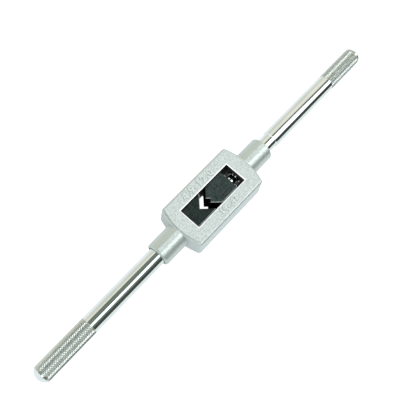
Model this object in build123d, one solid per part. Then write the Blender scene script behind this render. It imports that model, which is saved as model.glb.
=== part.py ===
from build123d import *
import os
from math import asin, cos, sin, sqrt

# Adjustable tap wrench. Millimetres, +Z up.
# Origin: the tap's axis (with the jaws as they stand here), on the plane that the frame rests on.
# +X runs along the handles towards the screw handle.

# Overall
fixed_reach = 177.55  # tap axis to the end of the fixed handle
screw_reach = 202.45  # tap axis to the end of the screw handle
handle_dia = 15.0
dome_height = 4.0  # each handle ends in a shallow ball face
edge_break = 0.4  # small chamfers on turned pieces

# Frame casting
body_width = 43.2  # at the base, where the draft makes the body widest
body_end_radius = 58.0  # the ends are shallow arcs in plan
body_corner_radius = 3.0
body_edge_radius = 2.0  # around the top face
base_edge_radius = 0.9
draft_angle = 1.5
window_length = 54.2
window_width = 19.25
window_centre_x = 9.15
window_rim_chamfer = 0.55
end_web = 14.0  # metal between the window and each end of the body, at the base
hub_wall = 2.9  # metal around the fixed handle
body_over_hub = 0.2  # the body stands proud of its hubs, so it rests on its flat face
hub_length = 22.2
hub_rim_radius = 1.6
mouth_depth = 2.0  # flared entry of each hub
mouth_flare = 1.0
rib_height = 4.0
rib_depth = 2.4

# Jaws
tap_square = 8.4  # across flats of the square that the jaws stand open for
jaw_recess = 1.0  # jaw faces lie this far below the frame's faces
jaw_side_gap = 0.55
fixed_jaw_key_length = 10.5
nose_apex_x = 1.15  # where the two flanks of the nose would meet
moving_jaw_length = 27.25  # from that point to the back
jaw_edge_chamfer = 0.45
spigot_dia = 8.0
fixed_spigot_entry = 8.3  # how far the handle's spigot reaches into the fixed jaw
screw_spigot_entry = 9.8
spigot_end_gap = 0.3

# Screw
thread_major_dia = 12.0
thread_pitch = 1.75
thread_depth = 1.07
thread_stand_out = 1.25  # thread that shows in the window
thread_crest_share = 0.15  # of the pitch, flat at the crest and at the root
thread_relief_depth = 1.3
thread_relief_width = 1.0
collar_step = 0.8
collar_width = 3.35
collar_neck_depth = 1.2
guide_step = 0.7  # the plain neck that slides in the hub is this much larger than the thread
neck_exposed = 10.0  # bare neck between the hub and the shank
screw_shoulder_chamfer = 0.8
counterbore_depth = 20.0
guide_end_gap = 1.2  # guide to the counterbore's floor with the jaws closed
retaining_groove_depth = 1.1
retaining_groove_inset = 4.9  # from the jaw's back

# Handles
fixed_seat_depth = 26.0  # how far the fixed handle goes into its hub
knurl_height = 0.15
fixed_knurl_length = 51.5
screw_knurl_length = 43.2

# Pins
lock_pin_dia = 4.0
lock_pin_over_axis = 6.0
handle_pin_recess = 0.25
retaining_pin_dia = 3.0
retaining_pin_over_axis = 4.5

# Clearances
cut_margin = 1.0  # cutting tools run this far past what they cut
slide_gap = 0.15  # between the ribs and the jaw's grooves
rib_tip_gap = 0.3
key_gap = 0.05  # fixed jaw's side keys to the window's walls
running_gap = 0.05  # radial, for round pieces that turn or slide
pin_gap = 0.15
thrust_gap = 0.15
stop_gap = 0.25  # left between the jaws, or the jaw and the wall, at each end of the travel

# Sizes and places that follow from the ones above
hub_dia = handle_dia + 2 * hub_wall
body_thickness = hub_dia + 2 * body_over_hub
collar_dia = spigot_dia + 2 * collar_step
collar_neck_dia = collar_dia - 2 * collar_neck_depth
guide_dia = thread_major_dia + 2 * guide_step
thread_relief_dia = thread_major_dia - 2 * thread_relief_depth
retaining_groove_dia = spigot_dia - 2 * retaining_groove_depth
dome_radius = (dome_height**2 + (handle_dia / 2) ** 2) / (2 * dome_height)
axis_z = body_thickness / 2
body_half_length = window_length / 2 + end_web
window_fixed_x = window_centre_x - window_length / 2
window_screw_x = window_centre_x + window_length / 2
hub_fixed_x = window_centre_x - body_half_length - hub_length
hub_screw_x = window_centre_x + body_half_length + hub_length
jaw_half_width = window_width / 2 - jaw_side_gap
jaw_bottom = jaw_recess
jaw_height = body_thickness - 2 * jaw_recess
vee_apex_x = -tap_square / sqrt(2)
notch_apex_x = tap_square / sqrt(2)
jaw_back_x = nose_apex_x + moving_jaw_length
fixed_seat_x = hub_fixed_x + fixed_seat_depth
fixed_spigot_x = window_fixed_x + fixed_spigot_entry
fixed_pin_x = window_fixed_x + fixed_spigot_entry / 2
handle_pin_x = (hub_fixed_x + fixed_seat_x) / 2
handle_pin_bottom = axis_z - hub_dia / 2 + handle_pin_recess
screw_spigot_x = jaw_back_x - screw_spigot_entry
collar_x = jaw_back_x + thrust_gap
thread_start_x = window_screw_x - thread_stand_out
retaining_groove_x = jaw_back_x - retaining_groove_inset
shoulder_x = hub_screw_x + neck_exposed
retaining_pin_y = (retaining_groove_dia + retaining_pin_dia) / 2 + pin_gap
notch_half_width = (notch_apex_x - nose_apex_x) / 2
rib_start_x = window_fixed_x + jaw_back_x - nose_apex_x - notch_half_width + rib_tip_gap
closing_travel = nose_apex_x - vee_apex_x - stop_gap
opening_travel = window_screw_x - jaw_back_x - stop_gap
guide_start_x = hub_screw_x - counterbore_depth + closing_travel + guide_end_gap
thread_end_x = guide_start_x - thread_relief_width


def x_cylinder(diameter, x_from, x_to):
    """A round bar along the handles' axis."""
    length = x_to - x_from
    place = Pos((x_from + x_to) / 2, 0, axis_z) * Rot(0, 90, 0)
    return place * Cylinder(diameter / 2, length)


def z_cylinder(diameter, x, y, z_from, z_to):
    """An upright pin, or the hole for one."""
    place = Pos(x, y, (z_from + z_to) / 2)
    return place * Cylinder(diameter / 2, z_to - z_from)


def block(x_from, x_to, half_width, z_from, z_to):
    """A box centred on the handles' axis in plan."""
    place = Pos((x_from + x_to) / 2, 0, (z_from + z_to) / 2)
    return place * Box(x_to - x_from, 2 * half_width, z_to - z_from)


def turned(points):
    """A solid of revolution about the handles' axis from (x, radius) points."""
    closed = [(points[0][0], 0)] + points + [(points[-1][0], 0)]
    face = make_face(Polyline(*closed, close=True))
    return Pos(0, 0, axis_z) * revolve(face, Axis.X)


def turned_handle(points, x_tip):
    """A turned bar from its inner end to a domed tip; the last point is the dome's foot."""
    direction = 1 if x_tip > points[0][0] else -1
    centre_x = x_tip - direction * dome_radius
    half_angle = asin(points[-1][1] / dome_radius) / 2
    middle_x = centre_x + direction * dome_radius * cos(half_angle)
    middle = (middle_x, dome_radius * sin(half_angle))
    start = (points[0][0], 0)
    side = Polyline(start, *points)
    dome = ThreePointArc(points[-1], middle, (x_tip, 0))
    base = Line((x_tip, 0), start)
    face = make_face([side, dome, base])
    return Pos(0, 0, axis_z) * revolve(face, Axis.X)


def body_outline():
    """The body in plan at its base: straight sides and arched ends."""
    half_width = body_width / 2
    sag = body_end_radius - sqrt(body_end_radius**2 - half_width**2)
    side = body_half_length - sag
    lower = Line((-side, -half_width), (side, -half_width))
    right = ThreePointArc((side, -half_width), (body_half_length, 0), (side, half_width))
    upper = Line((side, half_width), (-side, half_width))
    left = ThreePointArc((-side, half_width), (-body_half_length, 0), (-side, -half_width))
    face = make_face([lower, right, upper, left])
    return fillet(face.vertices(), body_corner_radius)


def outer_edges(shape, z):
    """The edges around the outside of a flat face of the body."""
    face = shape.faces().filter_by(Axis.Z).sort_by(lambda one: abs(one.center().Z - z))[0]
    return face.outer_wire().edges()


def frame_body():
    """The body narrows from its base to its top by the draft."""
    outline = Pos(window_centre_x, 0, 0) * body_outline()
    body = extrude(outline, amount=body_thickness, dir=(0, 0, 1), taper=draft_angle)
    body = fillet(outer_edges(body, body_thickness), body_edge_radius)
    return fillet(outer_edges(body, 0), base_edge_radius)


def hub(x_mouth, x_root):
    bar = x_cylinder(hub_dia, min(x_mouth, x_root), max(x_mouth, x_root))
    rim = bar.edges().filter_by(GeomType.CIRCLE).sort_by(lambda one: abs(one.center().X - x_mouth))[0]
    return fillet(rim, hub_rim_radius)


def mouth_cone(x_mouth, bore_dia, direction):
    """The flared entry of a hub; direction is +1 where the hub opens towards +X."""
    x_inner = x_mouth - direction * mouth_depth
    points = [(x_inner, bore_dia / 2), (x_mouth, bore_dia / 2 + mouth_flare)]
    return turned(sorted(points))


def window_cut():
    """The through window with a chamfered rim on both faces."""
    x_from = window_fixed_x
    x_to = window_screw_x
    cut = block(x_from, x_to, window_width / 2, -cut_margin, body_thickness + cut_margin)
    for z_face, outward in ((0, -1), (body_thickness, 1)):
        narrow = Plane(origin=(window_centre_x, 0, z_face - outward * window_rim_chamfer))
        wide = Plane(origin=(window_centre_x, 0, z_face))
        grow = 2 * window_rim_chamfer
        small = narrow * Rectangle(window_length, window_width)
        large = wide * Rectangle(window_length + grow, window_width + grow)
        cut += loft([small.face(), large.face()])
    return cut


def guide_rib(side):
    """A cast rib that the moving jaw's groove runs on; side is +1 or -1 in Y."""
    x_to = window_screw_x + cut_margin
    depth = rib_depth + cut_margin
    y = side * (window_width / 2 + cut_margin - depth / 2)
    rib = Box(x_to - rib_start_x, depth, rib_height)
    return Pos((rib_start_x + x_to) / 2, y, axis_z) * rib


def screw_bore(diameter, x_from):
    """A bore for the screw, open at the hub's mouth."""
    return x_cylinder(diameter + 2 * running_gap, x_from, hub_screw_x + cut_margin)


def make_frame():
    shape = frame_body()
    shape += hub(hub_fixed_x, window_fixed_x - cut_margin)
    shape += hub(hub_screw_x, window_screw_x + cut_margin)
    shape -= window_cut()
    shape += guide_rib(1)
    shape += guide_rib(-1)
    shape -= x_cylinder(handle_dia, hub_fixed_x - cut_margin, fixed_seat_x)
    shape -= x_cylinder(spigot_dia, fixed_seat_x - cut_margin, window_fixed_x + cut_margin)
    shape -= mouth_cone(hub_fixed_x, handle_dia, -1)
    shape -= screw_bore(thread_major_dia, window_screw_x - cut_margin)
    shape -= screw_bore(guide_dia, hub_screw_x - counterbore_depth)
    shape -= mouth_cone(hub_screw_x, guide_dia + 2 * running_gap, 1)
    shape -= z_cylinder(lock_pin_dia, handle_pin_x, 0, -cut_margin, axis_z)
    return shape


def jaw_prism(points, z_from, z_to):
    face = make_face(Polyline(*[(x, y) for x, y in points], close=True))
    return Pos(0, 0, z_from) * extrude(face, amount=z_to - z_from)


def make_fixed_jaw():
    """Block with a 90 degree vee, seated on the end wall and keyed between the side walls."""
    tip_x = vee_apex_x + jaw_half_width
    outline = [
        (window_fixed_x, -jaw_half_width),
        (tip_x, -jaw_half_width),
        (vee_apex_x, 0),
        (tip_x, jaw_half_width),
        (window_fixed_x, jaw_half_width),
    ]
    shape = jaw_prism(outline, jaw_bottom, jaw_bottom + jaw_height)
    shape = chamfer(shape.faces().sort_by(Axis.Z)[-1].edges(), jaw_edge_chamfer)
    key = block(
        window_fixed_x,
        window_fixed_x + fixed_jaw_key_length,
        window_width / 2 - key_gap,
        axis_z - rib_height / 2,
        axis_z + rib_height / 2,
    )
    shape += key
    shape -= x_cylinder(spigot_dia, window_fixed_x - cut_margin, fixed_spigot_x + spigot_end_gap)
    shape -= z_cylinder(lock_pin_dia, fixed_pin_x, 0, 0, axis_z + lock_pin_over_axis)
    return shape


def moving_jaw_outline():
    return [
        (jaw_back_x, -jaw_half_width),
        (jaw_back_x, jaw_half_width),
        (nose_apex_x + jaw_half_width, jaw_half_width),
        (nose_apex_x + notch_half_width, notch_half_width),
        (notch_apex_x, 0),
        (nose_apex_x + notch_half_width, -notch_half_width),
        (nose_apex_x + jaw_half_width, -jaw_half_width),
    ]


def jaw_groove(side):
    """The slot in the moving jaw's side that runs on a rib."""
    inner_y = window_width / 2 - rib_depth - rib_tip_gap
    depth = window_width / 2 - inner_y
    height = rib_height + 2 * slide_gap
    x_from = nose_apex_x
    x_to = jaw_back_x + cut_margin
    y = side * (inner_y + depth / 2)
    return Pos((x_from + x_to) / 2, y, axis_z) * Box(x_to - x_from, depth, height)


def retaining_pin(side, z_from):
    z_to = axis_z + retaining_pin_over_axis
    return z_cylinder(retaining_pin_dia, retaining_groove_x, side * retaining_pin_y, z_from, z_to)


def make_moving_jaw():
    """Slider with a wedge nose, a notch for the tap's square and a bore for the screw's spigot."""
    shape = jaw_prism(moving_jaw_outline(), jaw_bottom, jaw_bottom + jaw_height)
    shape = chamfer(shape.faces().sort_by(Axis.Z)[-1].edges(), jaw_edge_chamfer)
    shape -= jaw_groove(1)
    shape -= jaw_groove(-1)
    bore_dia = spigot_dia + 2 * running_gap
    shape -= x_cylinder(bore_dia, screw_spigot_x - spigot_end_gap, jaw_back_x + cut_margin)
    shape -= retaining_pin(1, 0)
    shape -= retaining_pin(-1, 0)
    return shape


def make_retaining_pins():
    """The two pins that hold the screw's spigot in the moving jaw."""
    return [retaining_pin(1, jaw_bottom), retaining_pin(-1, jaw_bottom)]


def thread_profile():
    """Ring grooves that stand for the screw thread, as (x, radius) points."""
    crest = thread_major_dia / 2
    root = crest - thread_depth
    flat = thread_pitch * thread_crest_share
    turns = int((thread_end_x - thread_start_x - thread_pitch) // thread_pitch)
    points = [(thread_start_x, root), (thread_start_x + thread_depth, crest)]
    for turn in range(turns):
        x = thread_start_x + thread_depth + turn * thread_pitch
        points.append((x + flat, crest))
        points.append((x + thread_pitch / 2, root))
        points.append((x + thread_pitch / 2 + flat, root))
        points.append((x + thread_pitch, crest))
    return points


def knurled_end(x_start, x_tip):
    """(x, radius) points of a plain band that stands for the knurl, up to the dome's foot."""
    direction = 1 if x_tip > x_start else -1
    shank = handle_dia / 2
    grip = shank + knurl_height
    foot = x_tip - direction * dome_height
    return [
        (x_start, shank),
        (x_start + direction * knurl_height, grip),
        (foot - direction * knurl_height, grip),
        (foot, shank),
    ]


def make_screw_handle():
    """One turned bar: spigot, collar, thread, plain neck, shank, knurl and domed end."""
    spigot = spigot_dia / 2
    groove = retaining_groove_dia / 2
    groove_half = retaining_pin_dia / 2 + pin_gap
    shank = handle_dia / 2
    grip_x = screw_reach - screw_knurl_length
    points = [
        (screw_spigot_x, spigot - edge_break),
        (screw_spigot_x + edge_break, spigot),
        (retaining_groove_x - groove_half, spigot),
        (retaining_groove_x - groove_half, groove),
        (retaining_groove_x + groove_half, groove),
        (retaining_groove_x + groove_half, spigot),
        (collar_x, spigot),
        (collar_x, collar_dia / 2 - edge_break),
        (collar_x + edge_break, collar_dia / 2),
        (collar_x + collar_width - edge_break, collar_dia / 2),
        (collar_x + collar_width, collar_dia / 2 - edge_break),
        (collar_x + collar_width, collar_neck_dia / 2),
        (thread_start_x, collar_neck_dia / 2),
    ]
    points += thread_profile()
    points += [
        (thread_end_x, thread_major_dia / 2),
        (thread_end_x, thread_relief_dia / 2),
        (guide_start_x, thread_relief_dia / 2),
        (guide_start_x, guide_dia / 2 - edge_break),
        (guide_start_x + edge_break, guide_dia / 2),
        (shoulder_x, guide_dia / 2),
        (shoulder_x + screw_shoulder_chamfer, shank),
    ]
    points += knurled_end(grip_x, screw_reach)
    return turned_handle(points, screw_reach)


def make_fixed_handle():
    """Plain bar pressed into its hub, with a spigot that carries the fixed jaw."""
    grip_x = fixed_knurl_length - fixed_reach
    points = [
        (fixed_spigot_x, spigot_dia / 2 - edge_break),
        (fixed_spigot_x - edge_break, spigot_dia / 2),
        (fixed_seat_x, spigot_dia / 2),
        (fixed_seat_x, handle_dia / 2 - edge_break),
        (fixed_seat_x - edge_break, handle_dia / 2),
    ]
    points += knurled_end(grip_x, -fixed_reach)
    shape = turned_handle(points, -fixed_reach)
    shape -= handle_pin()
    shape -= jaw_pin()
    return shape


def handle_pin():
    return z_cylinder(lock_pin_dia, handle_pin_x, 0, handle_pin_bottom, axis_z + lock_pin_over_axis)


def jaw_pin():
    return z_cylinder(lock_pin_dia, fixed_pin_x, 0, jaw_bottom, axis_z + lock_pin_over_axis)


def save(name, solids):
    shape = Compound(children=solids) if isinstance(solids, list) else solids
    export_step(shape, f"parts/{name}.step")


os.makedirs("parts", exist_ok=True)
save("frame", make_frame())
save("fixed_jaw", make_fixed_jaw())
save("fixed_jaw_pin", jaw_pin())
save("moving_jaw", make_moving_jaw())
save("screw_retaining_pins", make_retaining_pins())
save("screw_handle", make_screw_handle())
save("fixed_handle", make_fixed_handle())
save("fixed_handle_pin", handle_pin())

print("closing travel", round(closing_travel, 3))
print("opening travel", round(opening_travel, 3))
print("turns", round(closing_travel / thread_pitch, 3), round(opening_travel / thread_pitch, 3))
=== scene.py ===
from math import asin, atan2, cos, pi, radians, sin
import bmesh
import bpy
from mathutils import Euler, Matrix, Vector


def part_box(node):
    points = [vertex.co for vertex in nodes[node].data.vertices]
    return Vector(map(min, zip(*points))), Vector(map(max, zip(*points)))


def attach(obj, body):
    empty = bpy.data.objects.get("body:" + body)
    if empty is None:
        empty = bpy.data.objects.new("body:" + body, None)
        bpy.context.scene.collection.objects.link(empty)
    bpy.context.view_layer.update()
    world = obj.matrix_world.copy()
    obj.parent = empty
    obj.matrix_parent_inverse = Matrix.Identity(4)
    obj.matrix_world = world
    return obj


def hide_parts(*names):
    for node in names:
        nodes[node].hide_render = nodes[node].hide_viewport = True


# Adjustable tap wrench: cast frame, blackened jaws, plated handles with knurled ends.
# Metres. Origin on the rest plane under the tap; +X runs to the screw handle.

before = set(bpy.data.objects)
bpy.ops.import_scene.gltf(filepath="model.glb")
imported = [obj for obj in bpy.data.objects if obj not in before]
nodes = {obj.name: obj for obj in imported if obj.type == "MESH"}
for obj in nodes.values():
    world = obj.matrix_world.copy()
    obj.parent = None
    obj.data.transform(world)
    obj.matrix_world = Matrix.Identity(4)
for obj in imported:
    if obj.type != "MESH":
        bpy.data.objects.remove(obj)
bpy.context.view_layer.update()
scene = bpy.context.scene
mm = 0.001
mergeDistance = 0.5e-6
print("frame loaded:", ", ".join(sorted(nodes)))


def feed(tree, socket, value):
    # a value is either another node's output or a constant
    if isinstance(value, bpy.types.NodeSocket):
        tree.links.new(value, socket)
    else:
        socket.default_value = value


def placeNode(tree, kind, inputs=None, **settings):
    node = tree.nodes.new(kind)
    for key, value in settings.items():
        setattr(node, key, value)
    for key, value in (inputs or {}).items():
        feed(tree, node.inputs[key], value)
    return node


def doMath(tree, operation, first, second=0.0, third=0.0, clamp=False):
    inputs = {0: first, 1: second}
    if operation == "MULTIPLY_ADD":
        inputs[2] = third
    node = placeNode(tree, "ShaderNodeMath", inputs, operation=operation, use_clamp=clamp)
    return node.outputs[0]


def smoothBetween(tree, value, low, high, outLow=0.0, outHigh=1.0):
    inputs = {"Value": value, "From Min": low, "From Max": high, "To Min": outLow, "To Max": outHigh}
    node = placeNode(tree, "ShaderNodeMapRange", inputs, interpolation_type="SMOOTHSTEP")
    return node.outputs["Result"]


def distanceFrom(tree, value, middle):
    return doMath(tree, "ABSOLUTE", doMath(tree, "SUBTRACT", value, middle))


def withinRange(tree, value, start, end):
    # 1 between start and end, in either order
    return doMath(tree, "LESS_THAN", distanceFrom(tree, value, (start + end) / 2), abs(end - start) / 2)


def softRange(tree, value, start, end, soft):
    # the same with soft ends
    reach = (end - start) / 2
    return smoothBetween(tree, distanceFrom(tree, value, (start + end) / 2), reach + soft, reach - soft)


def blendColor(tree, factor, first, second, kind="MIX"):
    node = placeNode(tree, "ShaderNodeMix", data_type="RGBA", blend_type=kind)
    for slot, value in ((0, factor), (6, first), (7, second)):  # the colour sockets of a Mix node
        feed(tree, node.inputs[slot], value)
    return node.outputs[2]


def noiseAt(tree, vector, scale, detail=2.0, roughness=0.5):
    inputs = {"Vector": vector, "Scale": scale, "Detail": detail, "Roughness": roughness}
    return placeNode(tree, "ShaderNodeTexNoise", inputs).outputs["Fac"]


def splitVector(tree, vector):
    return placeNode(tree, "ShaderNodeSeparateXYZ", {0: vector}).outputs


def addBump(tree, shader, height, strength, depth):
    bump = placeNode(tree, "ShaderNodeBump", {"Height": height, "Strength": strength, "Distance": depth})
    tree.links.new(bump.outputs["Normal"], shader["Normal"])


def startGroup(name, inputs, outputs):
    group = bpy.data.node_groups.new(name, "ShaderNodeTree")
    for title, kind, value in inputs:
        socket = group.interface.new_socket(name=title, in_out="INPUT", socket_type="NodeSocket" + kind)
        socket.default_value = value
    for title, kind in outputs:
        group.interface.new_socket(name=title, in_out="OUTPUT", socket_type="NodeSocket" + kind)
    return group, group.nodes.new("NodeGroupInput").outputs, group.nodes.new("NodeGroupOutput").inputs


def useGroup(tree, group, inputs):
    return placeNode(tree, "ShaderNodeGroup", inputs, node_tree=group).outputs


def startMaterial(name, **fixed):
    material = bpy.data.materials.new(name)
    material.use_nodes = True
    tree = material.node_tree
    shader = tree.nodes["Principled BSDF"]
    for key, value in fixed.items():
        shader.inputs[key].default_value = value
    coordinates = tree.nodes.new("ShaderNodeTexCoord").outputs
    return material, tree, shader.inputs, coordinates


def makeGrainGroup():
    # blasted skin: fine pits over soft patches
    inputs = [("Vector", "Vector", (0, 0, 0)), ("Grain", "Float", 2000.0), ("Patch", "Float", 120.0)]
    outputs = [("Pits", "Float"), ("Patches", "Float")]
    group, given, result = startGroup("blastedGrain", inputs, outputs)
    fine = noiseAt(group, given["Vector"], given["Grain"], 3.0, 0.65)
    broad = noiseAt(group, given["Vector"], given["Patch"], 4.0, 0.6)
    group.links.new(smoothBetween(group, fine, 0.3, 0.7), result["Pits"])
    group.links.new(smoothBetween(group, broad, 0.32, 0.68), result["Patches"])
    return group


edgeShape = {  # the slope is 1 on a flat face and 0 on a wall
    "flat": 0.97,
    "rim": 0.8,
    "wall": 0.15,
    "foot": 0.45,
    "chipScale": 700.0,
}


def makeEdgeGroup():
    # where the surface is between flat and upright, as on chamfers and rounded rims
    inputs = [("Normal", "Vector", (0, 0, 1)), ("Vector", "Vector", (0, 0, 0)), ("Ragged", "Float", 0.3)]
    group, given, result = startGroup("edgeWear", inputs, [("Mask", "Float")])
    slope = doMath(group, "ABSOLUTE", splitVector(group, given["Normal"])[2])
    leavesFlat = smoothBetween(group, slope, edgeShape["flat"], edgeShape["rim"])
    meetsWall = smoothBetween(group, slope, edgeShape["wall"], edgeShape["foot"])
    band = doMath(group, "MULTIPLY", leavesFlat, meetsWall)
    chips = smoothBetween(group, noiseAt(group, given["Vector"], edgeShape["chipScale"], 3.0, 0.6), 0.3, 0.6)
    whole = doMath(group, "SUBTRACT", 1.0, given["Ragged"])
    loss = doMath(group, "MULTIPLY_ADD", chips, given["Ragged"], whole)
    group.links.new(doMath(group, "MULTIPLY", band, loss, clamp=True), result["Mask"])
    return group


def makeStreakGroup():
    # fine parallel tool marks: noise stretched along one direction
    inputs = [("Vector", "Vector", (0, 0, 0)), ("Count", "Float", 900.0)]
    inputs.append(("Stretch", "Vector", (1, 0.03, 0.03)))
    group, given, result = startGroup("toolMarks", inputs, [("Marks", "Float")])
    pair = {0: given["Vector"], 1: given["Stretch"]}
    stretched = placeNode(group, "ShaderNodeVectorMath", pair, operation="MULTIPLY")
    lines = noiseAt(group, stretched.outputs[0], given["Count"], 3.0, 0.7)
    group.links.new(smoothBetween(group, lines, 0.25, 0.75), result["Marks"])
    return group


grainGroup = makeGrainGroup()
edgeGroup = makeEdgeGroup()
streakGroup = makeStreakGroup()

castFinish = {
    "skin": (0.60, 0.655, 0.64, 1),
    "skinDark": (0.41, 0.465, 0.45, 1),
    # painted shade: upright walls take this darker copy of the skin
    "wall": (0.46, 0.535, 0.53, 1),
    "round": (0.54, 0.61, 0.58, 1),  # rubbed smoother on hubs and edges
    "lipHighlight": (1, 1, 1, 1),  # painted highlight: white lip round the window
    "bore": (0.006, 0.009, 0.009, 1),  # painted shade: near-black inner walls of the window and hub holes
    "grain": 2600.0,
    "patch": 700.0,
    "pits": 0.45,
    "pitDepth": 0.07 * mm,
    "pitRough": 0.08,
    "flatFrom": 0.985,
    "flatTo": 0.999,
    "wallFrom": 0.12,
    "wallTo": 0.04,
    "metalFlat": 0.2,
    "metalRound": 0.7,
    "metalWall": 0.35,  # part of it that the walls keep
    "roughFlat": 0.5,
    "roughRound": 0.28,
    "roughBore": 0.3,  # added in the bores
    "chamfer": 0.55 * mm,
    "lipWidth": 0.24 * mm,
    "lipSoft": 0.12 * mm,
    "boreGrow": 0.06 * mm,
    "boreSoft": 0.05 * mm,
}
castShape = {
    "windowEnd": 36.25 * mm,
    "windowHalf": 9.625 * mm,
    "boreStart": 36.2 * mm,  # hole for the screw handle, from here out
    "spigotStart": -17.9 * mm,  # hole for the fixed handle, from here out
    "boreFrom": 7.6 * mm,
    "boreTo": 7.4 * mm,
}


def insideWindow(tree, parts, grow, soft):
    # 1 within the window's outline grown by that much, in plan; the window starts at the fixed jaw's back
    start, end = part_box("fixed_jaw")[0].x - grow, castShape["windowEnd"] + grow
    half = castShape["windowHalf"] + grow
    along = softRange(tree, parts[0], start, end, soft)
    across = softRange(tree, parts[1], -half, half, soft)
    return doMath(tree, "MULTIPLY", along, across)


def fromAxis(tree, parts):
    # distance from the handles' common axis
    low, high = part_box("screw_handle")
    lift = doMath(tree, "SUBTRACT", parts[2], (low.z + high.z) / 2)
    liftSquared = doMath(tree, "MULTIPLY", lift, lift)
    return doMath(tree, "SQRT", doMath(tree, "MULTIPLY_ADD", parts[1], parts[1], liftSquared))


def insideHub(tree, parts):
    # 1 in the holes through the hubs, which get painted shade
    near = smoothBetween(tree, fromAxis(tree, parts), castShape["boreFrom"], castShape["boreTo"])
    outer = doMath(tree, "GREATER_THAN", parts[0], castShape["boreStart"])
    inner = doMath(tree, "LESS_THAN", parts[0], castShape["spigotStart"])
    return doMath(tree, "MULTIPLY", near, doMath(tree, "ADD", outer, inner))


def grainOf(tree, place, finish):
    return useGroup(tree, grainGroup, {"Vector": place, "Grain": finish["grain"], "Patch": finish["patch"]})


def makeCastMaterial():
    material, tree, shader, coordinates = startMaterial("castZinc")
    place = coordinates["Object"]
    parts = splitVector(tree, place)
    slope = doMath(tree, "ABSOLUTE", splitVector(tree, coordinates["Normal"])[2])
    flat = smoothBetween(tree, slope, castFinish["flatFrom"], castFinish["flatTo"])
    wall = smoothBetween(tree, slope, castFinish["wallFrom"], castFinish["wallTo"])
    grain = grainOf(tree, place, castFinish)
    skin = blendColor(tree, grain["Patches"], castFinish["skinDark"], castFinish["skin"])
    skin = blendColor(tree, flat, castFinish["round"], skin)
    # painted shade: walls get the darker copy of the skin
    skin = blendColor(tree, wall, skin, castFinish["wall"])
    # painted highlight: a white band round the window's edge
    lipHighlight = insideWindow(tree, parts, castFinish["chamfer"] + castFinish["lipWidth"], castFinish["lipSoft"])
    hole = insideWindow(tree, parts, castFinish["boreGrow"], castFinish["boreSoft"])
    # painted shade: the window's walls and the hub holes are coloured near black
    bore = doMath(tree, "MAXIMUM", hole, insideHub(tree, parts))
    skin = blendColor(tree, lipHighlight, skin, castFinish["lipHighlight"])
    tree.links.new(blendColor(tree, bore, skin, castFinish["bore"]), shader["Base Color"])
    metal = smoothBetween(tree, flat, 0.0, 1.0, castFinish["metalRound"], castFinish["metalFlat"])
    kept = smoothBetween(tree, wall, 0.0, 1.0, 1.0, castFinish["metalWall"])
    metal = doMath(tree, "MULTIPLY", metal, kept)
    bare = doMath(tree, "SUBTRACT", 1.0, doMath(tree, "MAXIMUM", lipHighlight, bore))
    tree.links.new(doMath(tree, "MULTIPLY", metal, bare), shader["Metallic"])
    rough = smoothBetween(tree, flat, 0.0, 1.0, castFinish["roughRound"], castFinish["roughFlat"])
    rough = doMath(tree, "MULTIPLY_ADD", grain["Pits"], castFinish["pitRough"], rough)
    tree.links.new(doMath(tree, "MULTIPLY_ADD", bore, castFinish["roughBore"], rough), shader["Roughness"])
    addBump(tree, shader, grain["Pits"], castFinish["pits"], castFinish["pitDepth"])
    return material


jawFinish = {
    "black": (0.010, 0.020, 0.023, 1),
    "brown": (0.066, 0.062, 0.048, 1),
    "green": (0.040, 0.070, 0.062, 1),
    "marked": (0.10, 0.125, 0.125, 1),  # crests of the tool marks
    # painted shade: the jaws' upright faces are near black
    "upright": (0.003, 0.004, 0.004, 1),
    "bare": (0.52, 0.57, 0.56, 1),  # worn ground edges, kept to the -Y side as a painted highlight
    "grain": 1500.0,
    "patch": 520.0,
    "stain": 900.0,
    "streaks": 1500.0,
    "ragged": 0.25,
    "metalTop": 0.3,
    "roughLow": 0.4,
    "roughHigh": 0.56,
    "pits": 0.3,
    "pitDepth": 0.04 * mm,
}


def makeJawMaterial(name, stretch, lift, depth):
    # lift is how much the tool marks show, depth how dark the whole jaw is
    material, tree, shader, coordinates = startMaterial(name)
    shader["Specular IOR Level"].default_value = 0.0
    place = coordinates["Object"]
    facing = splitVector(tree, coordinates["Normal"])
    upright = smoothBetween(tree, doMath(tree, "ABSOLUTE", facing[2]), 0.3, 0.15)
    grain = grainOf(tree, place, jawFinish)
    ground = {"Vector": place, "Count": jawFinish["streaks"], "Stretch": stretch}
    marks = useGroup(tree, streakGroup, ground)["Marks"]
    tone = blendColor(tree, grain["Patches"], jawFinish["black"], jawFinish["green"])
    stained = smoothBetween(tree, noiseAt(tree, place, jawFinish["stain"], 2.0, 0.6), 0.48, 0.66)
    tone = blendColor(tree, stained, tone, jawFinish["brown"])
    tone = blendColor(tree, 1.0, tone, (depth, depth, depth, 1), "MULTIPLY")
    tone = blendColor(tree, doMath(tree, "MULTIPLY", marks, lift), tone, jawFinish["marked"])
    edge = {"Normal": coordinates["Normal"], "Vector": place, "Ragged": jawFinish["ragged"]}
    worn = useGroup(tree, edgeGroup, edge)["Mask"]
    # edge wear kept to edges facing -Y: partly real wear, partly painted highlight
    bare = doMath(tree, "MULTIPLY", worn, smoothBetween(tree, facing[1], -0.3, -0.6))
    tone = blendColor(tree, bare, tone, jawFinish["bare"])
    # painted shade on the jaws' upright faces
    tree.links.new(blendColor(tree, upright, tone, jawFinish["upright"]), shader["Base Color"])
    tree.links.new(smoothBetween(tree, upright, 0.0, 1.0, jawFinish["metalTop"], 0.0), shader["Metallic"])
    rough = smoothBetween(tree, marks, 0.0, 1.0, jawFinish["roughLow"], jawFinish["roughHigh"])
    tree.links.new(rough, shader["Roughness"])
    height = doMath(tree, "MULTIPLY_ADD", marks, 0.6, doMath(tree, "MULTIPLY", grain["Pits"], 0.4))
    addBump(tree, shader, height, jawFinish["pits"], jawFinish["pitDepth"])
    return material


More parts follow.
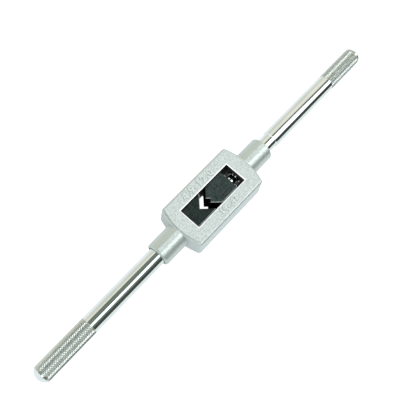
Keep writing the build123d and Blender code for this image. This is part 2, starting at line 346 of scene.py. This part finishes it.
handleShape = {
    "sides": 64,
    "shank": 7.5 * mm,
    "peak": 7.65 * mm,
    "ring": 0.85 * mm,  # a knurl diamond is two rings long
    "knurlDepth": 0.36 * mm,
    "knurlFlank": 0.4 * mm,
    "knurlLead": 0.3 * mm,  # slope from the shank down to the knurl's first ring
    "knurlRest": 0.5 * mm,  # least slope from its last ring up to the dome
    "screwKnurl": 43.2 * mm,
    "fixedKnurl": 51.5 * mm,
    "domeHeight": 4.0 * mm,
    "domeStep": 0.1 * mm,  # the dome's foot lies this far below the shank
    "domeRings": 8,
    "sharpAngle": 32,  # degrees; edges past it stay crisp
}
chromeFinish = {
    "clean": (0.80, 0.875, 0.88, 1),
    "dull": (0.75, 0.835, 0.845, 1),
    "knurlShade": (0.50, 0.53, 0.48, 1),  # painted shade in the knurl's grooves
    "neckShade": (0.02, 0.024, 0.022, 1),  # painted shade on the neck between collar and thread
    "roughLow": 0.05,
    "roughHigh": 0.11,
    "knurlShadeRough": 0.35,
    "streaks": 2500.0,
    "hazeScale": 60.0,
    "knurlShadeScale": 500.0,
    "knurlShadeEnd": 0.4 * mm,  # from the dome's foot
    "knurlShadeFrom": 7.34 * mm,
    "knurlShadeTo": 7.54 * mm,
    "neckEnd": 36.0 * mm,
    "neckFrom": 4.6 * mm,
    "neckTo": 4.3 * mm,
    "shadeFrom": 13.9 * mm,  # height under which the whole neck gets painted shade
    "shadeTo": 13.4 * mm,
}


def knurlMask(tree, parts):
    # 1 in the grooves of both knurls, where shade is painted
    deep = smoothBetween(tree, fromAxis(tree, parts), chromeFinish["knurlShadeTo"], chromeFinish["knurlShadeFrom"])
    screwTip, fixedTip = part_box("screw_handle")[1].x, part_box("fixed_handle")[0].x
    foot = handleShape["domeHeight"] + chromeFinish["knurlShadeEnd"]
    screwBand = withinRange(tree, parts[0], screwTip - handleShape["screwKnurl"], screwTip - foot)
    fixedBand = withinRange(tree, parts[0], fixedTip + handleShape["fixedKnurl"], fixedTip + foot)
    return doMath(tree, "MULTIPLY", deep, doMath(tree, "ADD", screwBand, fixedBand))


def neckMask(tree, parts):
    # painted shade: the screw's inner end is dark, apart from the tops of its collar and first thread
    within = withinRange(tree, parts[0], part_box("screw_handle")[0].x - 1 * mm, chromeFinish["neckEnd"])
    slim = smoothBetween(tree, fromAxis(tree, parts), chromeFinish["neckFrom"], chromeFinish["neckTo"])
    below = smoothBetween(tree, parts[2], chromeFinish["shadeFrom"], chromeFinish["shadeTo"])
    return doMath(tree, "MULTIPLY", within, doMath(tree, "MAXIMUM", slim, below))


def makeChromeMaterial():
    material, tree, shader, coordinates = startMaterial("platedSteel", Metallic=1.0)
    place = coordinates["Object"]
    parts = splitVector(tree, place)
    turned = {"Vector": place, "Count": chromeFinish["streaks"], "Stretch": (1, 0.02, 0.02)}
    marks = useGroup(tree, streakGroup, turned)["Marks"]
    haze = smoothBetween(tree, noiseAt(tree, place, chromeFinish["hazeScale"], 3.0, 0.6), 0.3, 0.7)
    tint = blendColor(tree, haze, chromeFinish["dull"], chromeFinish["clean"])
    clumps = noiseAt(tree, place, chromeFinish["knurlShadeScale"], 2.0, 0.6)
    patchyShade = smoothBetween(tree, clumps, 0.25, 0.6, 0.55, 1.0)
    # painted shade: the knurl's grooves are coloured darker, and made rougher
    knurlShade = doMath(tree, "MULTIPLY", knurlMask(tree, parts), patchyShade)
    tint = blendColor(tree, knurlShade, tint, chromeFinish["knurlShade"])
    # painted shade on the screw's inner end, inside the window
    tint = blendColor(tree, neckMask(tree, parts), tint, chromeFinish["neckShade"])
    tree.links.new(tint, shader["Base Color"])
    rough = smoothBetween(tree, marks, 0.0, 1.0, chromeFinish["roughLow"], chromeFinish["roughHigh"])
    rough = doMath(tree, "MULTIPLY_ADD", knurlShade, chromeFinish["knurlShadeRough"], rough)
    tree.links.new(rough, shader["Roughness"])
    addBump(tree, shader, marks, 0.06, 0.01 * mm)
    return material


pinFinish = {
    "dark": (0.30, 0.31, 0.31, 1),
    "light": (0.46, 0.47, 0.46, 1),
    "grain": 3000.0,
    "patch": 500.0,
    "roughLow": 0.28,
    "roughHigh": 0.42,
}


def makePinMaterial():
    material, tree, shader, coordinates = startMaterial("pinSteel", Metallic=0.9)
    grain = grainOf(tree, coordinates["Object"], pinFinish)
    tone = blendColor(tree, grain["Patches"], pinFinish["dark"], pinFinish["light"])
    tree.links.new(tone, shader["Base Color"])
    rough = smoothBetween(tree, grain["Pits"], 0.0, 1.0, pinFinish["roughLow"], pinFinish["roughHigh"])
    tree.links.new(rough, shader["Roughness"])
    addBump(tree, shader, grain["Pits"], 0.2, 0.03 * mm)
    return material


def dress(node, material):
    piece = nodes[node]
    piece.data.materials.clear()
    piece.data.materials.append(material)


castZinc = makeCastMaterial()
fixedJawBlack = makeJawMaterial("groundBlack", stretch=(0.05, 1, 0.3), lift=0.1, depth=0.55)
movingJawBlack = makeJawMaterial("blackOxide", stretch=(0.6, 0.6, 0.6), lift=0.3, depth=0.8)
platedSteel = makeChromeMaterial()
pinSteel = makePinMaterial()
dress("frame", castZinc)
dress("fixed_jaw", fixedJawBlack)
dress("moving_jaw", movingJawBlack)
for pinNode in ("fixed_jaw_pin", "fixed_handle_pin", "screw_retaining_pins"):
    dress(pinNode, pinSteel)
print("finishes made")

threadShape = {
    "start": 35.0 * mm,
    "end": 59.4 * mm,
    "root": 4.95 * mm,
    "crest": 6.0 * mm,
    "pitch": 1.75 * mm,
    "steps": 10,  # rings for each pitch
    "rootFrom": 0.86,  # from the crest's middle, as a share of half a pitch
    "flank": 0.74,  # likewise
    "runOut": 0.9,  # rise of the thread's ends, radius for length
}
screwShape = {  # profiles as (x, radius) in mm
    # spigot, its groove and the collar, from the bar's inner end
    "inner": [(0, 3.6), (0.4, 4.0), (3.25, 4.0), (3.25, 2.9), (6.55, 2.9), (6.55, 4.0), (9.95, 4.0),
              (9.95, 4.4), (10.35, 4.8), (12.9, 4.8), (13.3, 4.4), (13.3, 3.6), (16.35, 3.6)],
    # end of the thread, plain neck and the cone up to the shank, from the tap's axis
    "neck": [(59.5, 4.7), (60.5, 4.7), (60.5, 6.3), (60.9, 6.7), (66, 6.7), (71, 6.7), (76, 6.7), (81, 6.7),
             (82.45, 6.7), (83.25, 7.5)],
    "shankRings": range(88, 158, 6),
}
fixedShape = {
    "seat": -28.15 * mm,
    "spigot": 4.0 * mm,
    "chamfer": 0.4 * mm,
    "shankRings": range(34, 126, 6),
}


def keepPiece(name, shape, material, body):
    bmesh.ops.remove_doubles(shape, verts=shape.verts, dist=mergeDistance)
    bmesh.ops.recalc_face_normals(shape, faces=shape.faces)
    for face in shape.faces:
        face.smooth = True
    mesh = bpy.data.meshes.new(name)
    shape.to_mesh(mesh)
    shape.free()
    mesh.set_sharp_from_angle(angle=radians(handleShape["sharpAngle"]))
    mesh.materials.append(material)
    piece = bpy.data.objects.new(name, mesh)
    scene.collection.objects.link(piece)
    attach(piece, body)
    return piece


def spinBar(points, axisZ):
    # points are (x, radius) in order along the bar
    shape = bmesh.new()
    verts = [shape.verts.new((x, 0, radius)) for x, radius in points]
    edges = [shape.edges.new(pair) for pair in zip(verts, verts[1:])]
    bmesh.ops.spin(shape, geom=verts + edges, cent=(0, 0, 0), axis=(1, 0, 0), dvec=(0, 0, 0),
                   angle=2 * pi, steps=handleShape["sides"], use_merge=True, use_duplicate=False)
    bmesh.ops.remove_doubles(shape, verts=shape.verts, dist=mergeDistance)
    bmesh.ops.translate(shape, verts=shape.verts, vec=(0, 0, axisZ))
    bmesh.ops.recalc_face_normals(shape, faces=shape.faces)
    return shape


def knurlPoints(start, end):
    # rings of the knurl's floor from the shank to the dome's foot, and the x of the first and last ring
    way = 1 if end > start else -1
    floorRadius = handleShape["peak"] - handleShape["knurlDepth"]
    first = start + way * handleShape["knurlLead"]
    count = 2 * int((abs(end - first) - handleShape["knurlRest"]) / handleShape["ring"] / 2)  # whole diamonds
    rings = [(first + way * handleShape["ring"] * index, floorRadius) for index in range(count + 1)]
    points = [(start, handleShape["shank"])] + rings + [(end, handleShape["shank"] - handleShape["domeStep"])]
    return points, rings[0][0], rings[-1][0]


def domePoints(foot, tip):
    way = 1 if tip > foot else -1
    height, half = handleShape["domeHeight"], handleShape["shank"] - handleShape["domeStep"]
    ball = (height**2 + half**2) / (2 * height)
    widest, count = asin(half / ball), handleShape["domeRings"]
    angles = [widest * (1 - step / count) for step in range(1, count + 1)]
    return [(tip - way * ball * (1 - cos(angle)), ball * sin(angle)) for angle in angles]


def cutKnurl(shape, first, last, axisZ):
    # joins the ring grid into diamonds, then raises each one
    low, high = min(first, last), max(first, last)
    spoke = 2 * pi / handleShape["sides"]
    hair = 0.01 * mm

    def parity(vert):
        ring = round((vert.co.x - low) / handleShape["ring"])
        return (ring + round(atan2(vert.co.y, vert.co.z - axisZ) / spoke)) % 2

    def within(face):
        return all(low - hair < vert.co.x < high + hair for vert in face.verts)

    for face in [one for one in shape.faces if within(one)]:
        even = [vert for vert in face.verts if parity(vert) == 0]
        bmesh.utils.face_split(face, even[0], even[1])
    odd = [vert for vert in shape.verts if low + hair < vert.co.x < high - hair and parity(vert) == 1]
    bmesh.ops.dissolve_verts(shape, verts=odd)
    inGrid = [face for face in shape.faces if within(face)]
    diamonds = [face for face in inGrid if all(parity(vert) == 0 for vert in face.verts)]
    bmesh.ops.inset_individual(shape, faces=diamonds, thickness=handleShape["knurlFlank"],
                               depth=handleShape["knurlDepth"], use_even_offset=True)


def cutThread(shape, axisZ):
    # right-hand helix: the crest moves on by one pitch for each turn about +X
    start, end, root, pitch = [threadShape[key] for key in ("start", "end", "root", "pitch")]
    height, slack = threadShape["crest"] - root, 1e-6
    for vert in shape.verts:
        if start - slack <= vert.co.x <= end + slack:
            turned = atan2(vert.co.z - axisZ, vert.co.y) / (2 * pi)
            away = abs(2 * ((vert.co.x / pitch - turned) % 1) - 1)
            share = (threadShape["rootFrom"] - away) / threadShape["flank"]
            radius = root + height * min(max(share, 0), 1)
            runOut = min(vert.co.x - start, end - vert.co.x) * threadShape["runOut"]
            radius = min(radius, root + runOut)
            now = Vector((vert.co.y, vert.co.z - axisZ)).length
            vert.co.y *= radius / now
            vert.co.z = axisZ + (vert.co.z - axisZ) * radius / now


def makeScrewHandle():
    low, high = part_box("screw_handle")
    axisZ = (low.z + high.z) / 2
    step = threadShape["pitch"] / threadShape["steps"]
    rings = int((threadShape["end"] - threadShape["start"]) / step)
    foot = high.x - handleShape["domeHeight"]
    points = [(low.x, 0)] + [(low.x + x * mm, radius * mm) for x, radius in screwShape["inner"]]
    points += [(threadShape["start"] + step * ring, threadShape["root"]) for ring in range(rings + 1)]
    points += [(x * mm, radius * mm) for x, radius in screwShape["neck"]]
    points += [(x * mm, handleShape["shank"]) for x in screwShape["shankRings"]]
    knurl, first, last = knurlPoints(high.x - handleShape["screwKnurl"], foot)
    shape = spinBar(points + knurl + domePoints(foot, high.x), axisZ)
    cutThread(shape, axisZ)
    cutKnurl(shape, first, last, axisZ)
    piece = keepPiece("screwHandleTurned", shape, platedSteel, "screw_handle")
    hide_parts("screw_handle")


def makeFixedHandle():
    low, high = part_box("fixed_handle")
    axisZ = (low.z + high.z) / 2
    seat, spigot, chamfer = fixedShape["seat"], fixedShape["spigot"], fixedShape["chamfer"]
    foot = low.x + handleShape["domeHeight"]
    points = [(high.x, 0), (high.x, spigot - chamfer), (high.x - chamfer, spigot), (seat, spigot)]
    points += [(seat, handleShape["shank"] - chamfer), (seat - chamfer, handleShape["shank"])]
    points += [(-x * mm, handleShape["shank"]) for x in fixedShape["shankRings"]]
    knurl, first, last = knurlPoints(low.x + handleShape["fixedKnurl"], foot)
    shape = spinBar(points + knurl + domePoints(foot, low.x), axisZ)
    cutKnurl(shape, first, last, axisZ)
    piece = keepPiece("fixedHandleTurned", shape, platedSteel, "frame")
    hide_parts("fixed_handle")


makeScrewHandle()
makeFixedHandle()
print("handles turned")

markShape = {
    "rise": 0.5 * mm,
    "sunk": 0.15 * mm,
    "soften": 0.22 * mm,
    "swell": 0.1 * mm,
    "across": 14.55 * mm,
    "spacing": 1.15,
    "dark": (0.17, 0.205, 0.2, 1),  # painted shade where the numerals meet the bar
    # tops: partly rubbed wear, partly painted highlight
    "rubbedAndLit": (0.55, 0.61, 0.59, 1),
    "rubbedAndLitBright": (0.68, 0.75, 0.73, 1),
}


def makeMarkMaterial():
    # the casting's own skin: bright on top, partly rubbed wear and partly painted highlight, with painted
    # shade at the foot
    material, tree, shader, coordinates = startMaterial("castNumerals")
    place = coordinates["Object"]
    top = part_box("frame")[1].z
    height = splitVector(tree, place)[2]
    rubbedAndLit = smoothBetween(tree, height, top + 0.2 * mm, top + markShape["rise"] - 0.04 * mm)
    grain = grainOf(tree, place, castFinish)
    bright = blendColor(tree, grain["Patches"], markShape["rubbedAndLit"], markShape["rubbedAndLitBright"])
    tree.links.new(blendColor(tree, rubbedAndLit, markShape["dark"], bright), shader["Base Color"])
    tree.links.new(smoothBetween(tree, rubbedAndLit, 0.0, 1.0, 0.1, 0.3), shader["Metallic"])
    tree.links.new(smoothBetween(tree, grain["Pits"], 0.0, 1.0, 0.4, 0.55), shader["Roughness"])
    addBump(tree, shader, grain["Pits"], castFinish["pits"], castFinish["pitDepth"])
    return material


castNumerals = makeMarkMaterial()


def addMark(name, words, size, along, across):
    # cast numerals for the squares that the wrench takes, in millimetres on one bar and inches on the other
    letters = bpy.data.curves.new(name + "Curve", "FONT")
    letters.body = words
    letters.size = size
    letters.align_x, letters.align_y = "CENTER", "CENTER"
    letters.extrude = (markShape["rise"] + markShape["sunk"]) / 2 - markShape["soften"]
    letters.offset = markShape["swell"]
    letters.bevel_depth = markShape["soften"]
    letters.bevel_resolution = 1
    letters.resolution_u = 4
    letters.space_character = markShape["spacing"]
    holder = bpy.data.objects.new(name + "Curve", letters)
    mesh = bpy.data.meshes.new_from_object(holder)
    mesh.name = name
    bpy.data.objects.remove(holder)
    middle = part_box("frame")[1].z + (markShape["rise"] - markShape["sunk"]) / 2
    mesh.transform(Matrix.Translation((along, across, middle)))
    mesh.materials.clear()
    mesh.materials.append(castNumerals)
    piece = bpy.data.objects.new(name, mesh)
    scene.collection.objects.link(piece)
    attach(piece, "frame")


addMark("rangeMarkLeft", "4.9-12.0", 8.6 * mm, 7.5 * mm, markShape["across"])
addMark("rangeMarkRight", ".19-.47", 6.6 * mm, 11.0 * mm, -markShape["across"])
print("marks cast")

floorLook = {
    "size": 6.0,
    "matt": (0.25, 0.26, 0.26, 1),
    "glow": 0.62,  # what the metal sees
    "seen": 1.05,  # what the camera sees
}
skyLook = {
    "white": (1, 1, 1, 1),
    "cool": (0.97, 0.99, 1, 1),
    "lean": (0.45, -0.85, 0.28),  # the side that the light comes from
    "low": 0.75,
    "high": 1.75,
}
cardPlace = {  # metres
    "far": -1.2,
    "end": 2.6,
    "boxEnd": 2.0,
    "wall": -0.9,
    "rear": 1.0,
    "height": 0.9106,  # of the overhead cards
    "split": 0.45,
    "sill": 0.49,  # heights on the side wall
    "boxFoot": 0.66,
    "wallTop": 1.06,
    "floor": 0.0005,
    "floorEdge": -0.09,
    "lowRear": (1.35, 0.1),  # y and z of the rear card's lower edge
}
cardStations = (0.092, 0.40, 0.596, 0.663, 0.73)  # x between the far and near ends
cardEdges = {  # y of the overhead cards' edges at far, at each station and at the end
    "near": (-0.68, -0.68, -0.80, -0.9, -0.9, -0.9, -0.9),
    "soft": (-0.30, -0.27, -0.20, -0.15, -0.22, -0.33, -0.6),
    "gap": (-0.30, -0.27, -0.20, -0.15, -0.22, -0.33, -0.78),
    "warm": (0.75, 0.56, 0.35, 0.19, 0.126, 0.063, -0.3),
    "rear": (cardPlace["rear"],) * 7,
}


def glowMaterial(name, colour, strength):
    material = bpy.data.materials.new(name)
    material.use_nodes = True
    tree = material.node_tree
    tree.nodes.clear()
    glow = placeNode(tree, "ShaderNodeEmission", {"Color": colour + (1,), "Strength": strength})
    out = tree.nodes.new("ShaderNodeOutputMaterial")
    tree.links.new(glow.outputs[0], out.inputs["Surface"])
    return material


def addCard(name, corners, colour, strength=1.0):
    # a studio card that only polished metal sees
    shape = bmesh.new()
    shape.faces.new([shape.verts.new(corner) for corner in corners])
    mesh = bpy.data.meshes.new(name)
    shape.to_mesh(mesh)
    shape.free()
    card = bpy.data.objects.new(name, mesh)
    scene.collection.objects.link(card)
    mesh.materials.append(glowMaterial(name + "Glow", colour, strength))
    card.visible_camera = False
    card.visible_diffuse = False
    card.visible_shadow = False
    card.visible_transmission = False
    card.visible_volume_scatter = False


def addOverheadCard(name, first, second, end, colour, strength=1.0):
    stations = (cardPlace["far"],) + cardStations + (end,)
    there, back = [[(x, y, cardPlace["height"]) for x, y in zip(stations, cardEdges[edge])]
                   for edge in (first, second)]
    addCard(name, there + back[::-1], colour, strength)


def addWallCard(name, left, right, foot, top, colour, strength=1.0):
    wall = cardPlace["wall"]
    corners = [(left, wall, foot), (right, wall, foot), (right, wall, top), (left, wall, top)]
    addCard(name, corners, colour, strength)


def addCards():
    far, split, end = cardPlace["far"], cardPlace["split"], cardPlace["end"]
    wall, rear, top = cardPlace["wall"], cardPlace["rear"], cardPlace["height"]
    sill, boxFoot, wallTop = cardPlace["sill"], cardPlace["boxFoot"], cardPlace["wallTop"]
    addOverheadCard("softbox", "near", "soft", cardPlace["boxEnd"], (1.0, 1.0, 1.0), 2.6)
    addOverheadCard("gapCard", "gap", "warm", end, (0.19, 0.21, 0.17))
    addOverheadCard("warmCard", "warm", "rear", end, (0.95, 0.89, 0.76))
    addWallCard("darkCard", far, end, 0, sill, (0.06, 0.06, 0.045))
    addWallCard("blueCard", far, split, sill, wallTop, (0.17, 0.205, 0.19))
    addWallCard("sideSoftbox", split, end, boxFoot, wallTop, (1.0, 1.0, 1.0), 2.0)
    addWallCard("sideBlue", split, end, sill, boxFoot, (0.13, 0.155, 0.15))
    level, edge = cardPlace["floor"], cardPlace["floorEdge"]
    addCard("floorStrip", [(far, wall, level), (end, wall, level), (end, edge, level), (far, edge, level)],
            (0.12, 0.125, 0.105))
    lowRear = cardPlace["lowRear"]
    addCard("warmWall", [(far, rear, top), (end, rear, top), (end, *lowRear), (far, *lowRear)],
            (0.79, 0.74, 0.64))


def addFloor():
    # pale floor that glows, so shadows stay faint; open from below
    shape = bmesh.new()
    bmesh.ops.create_grid(shape, x_segments=1, y_segments=1, size=floorLook["size"])
    mesh = bpy.data.meshes.new("floor")
    shape.to_mesh(mesh)
    shape.free()
    floorPiece = bpy.data.objects.new("floor", mesh)
    scene.collection.objects.link(floorPiece)
    material = bpy.data.materials.new("paleFloor")
    material.use_nodes = True
    tree = material.node_tree
    tree.nodes.clear()
    seen = tree.nodes.new("ShaderNodeLightPath").outputs["Is Camera Ray"]
    strength = smoothBetween(tree, seen, 0.0, 1.0, floorLook["glow"], floorLook["seen"])
    matt = placeNode(tree, "ShaderNodeBsdfDiffuse", {"Color": floorLook["matt"]})
    glow = placeNode(tree, "ShaderNodeEmission", {"Color": skyLook["white"], "Strength": strength})
    both = placeNode(tree, "ShaderNodeAddShader", {0: matt.outputs[0], 1: glow.outputs[0]})
    clear = tree.nodes.new("ShaderNodeBsdfTransparent")
    underside = tree.nodes.new("ShaderNodeNewGeometry").outputs["Backfacing"]
    sides = placeNode(tree, "ShaderNodeMixShader", {0: underside, 1: both.outputs[0], 2: clear.outputs[0]})
    out = tree.nodes.new("ShaderNodeOutputMaterial")
    tree.links.new(sides.outputs[0], out.inputs["Surface"])
    mesh.materials.append(material)


def addWorld():
    # soft light from above, stronger on one side, and plain white where the camera looks past the floor
    world = bpy.data.worlds.new("paleStudio")
    scene.world = world
    world.use_nodes = True
    tree = world.node_tree
    tree.nodes.clear()
    rays = tree.nodes.new("ShaderNodeLightPath").outputs
    ray = placeNode(tree, "ShaderNodeTexCoord").outputs["Generated"]
    lean = placeNode(tree, "ShaderNodeVectorMath", {0: ray, 1: skyLook["lean"]}, operation="DOT_PRODUCT")
    strength = smoothBetween(tree, lean.outputs["Value"], -1.0, 1.0, skyLook["low"], skyLook["high"])

    def background(colour, power):
        return placeNode(tree, "ShaderNodeBackground", {"Color": colour, "Strength": power}).outputs[0]

    def choose(factor, first, second):
        return placeNode(tree, "ShaderNodeMixShader", {0: factor, 1: first, 2: second}).outputs[0]

    gloss, soft = background(skyLook["cool"], 1.0), background(skyLook["cool"], strength)
    bounced = choose(rays["Is Diffuse Ray"], gloss, soft)
    seen = choose(rays["Is Camera Ray"], bounced, background(skyLook["white"], 1.0))
    out = tree.nodes.new("ShaderNodeOutputWorld")
    tree.links.new(seen, out.inputs["Surface"])


cameraPlace = {
    "lens": 57.2,  # mm, on a 36 mm sensor
    "stand": (-0.15753, -0.08497, 0.48109),
    "turn": (20.9185, -4.6811, -48.1659),  # degrees about X, Y and Z
}


def addCamera():
    lens = bpy.data.cameras.new("studioCamera")
    lens.lens = cameraPlace["lens"]
    lens.sensor_width = 36.0
    lens.clip_start, lens.clip_end = 0.01, 50.0
    camera = bpy.data.objects.new("studioCamera", lens)
    scene.collection.objects.link(camera)
    turn = Euler([radians(angle) for angle in cameraPlace["turn"]])
    camera.matrix_world = Matrix.LocRotScale(Vector(cameraPlace["stand"]), turn, None)
    scene.camera = camera


scene.view_settings.view_transform = "Standard"
scene.view_settings.look = "None"
addCamera()
addFloor()
addWorld()
addCards()
print("studio set")
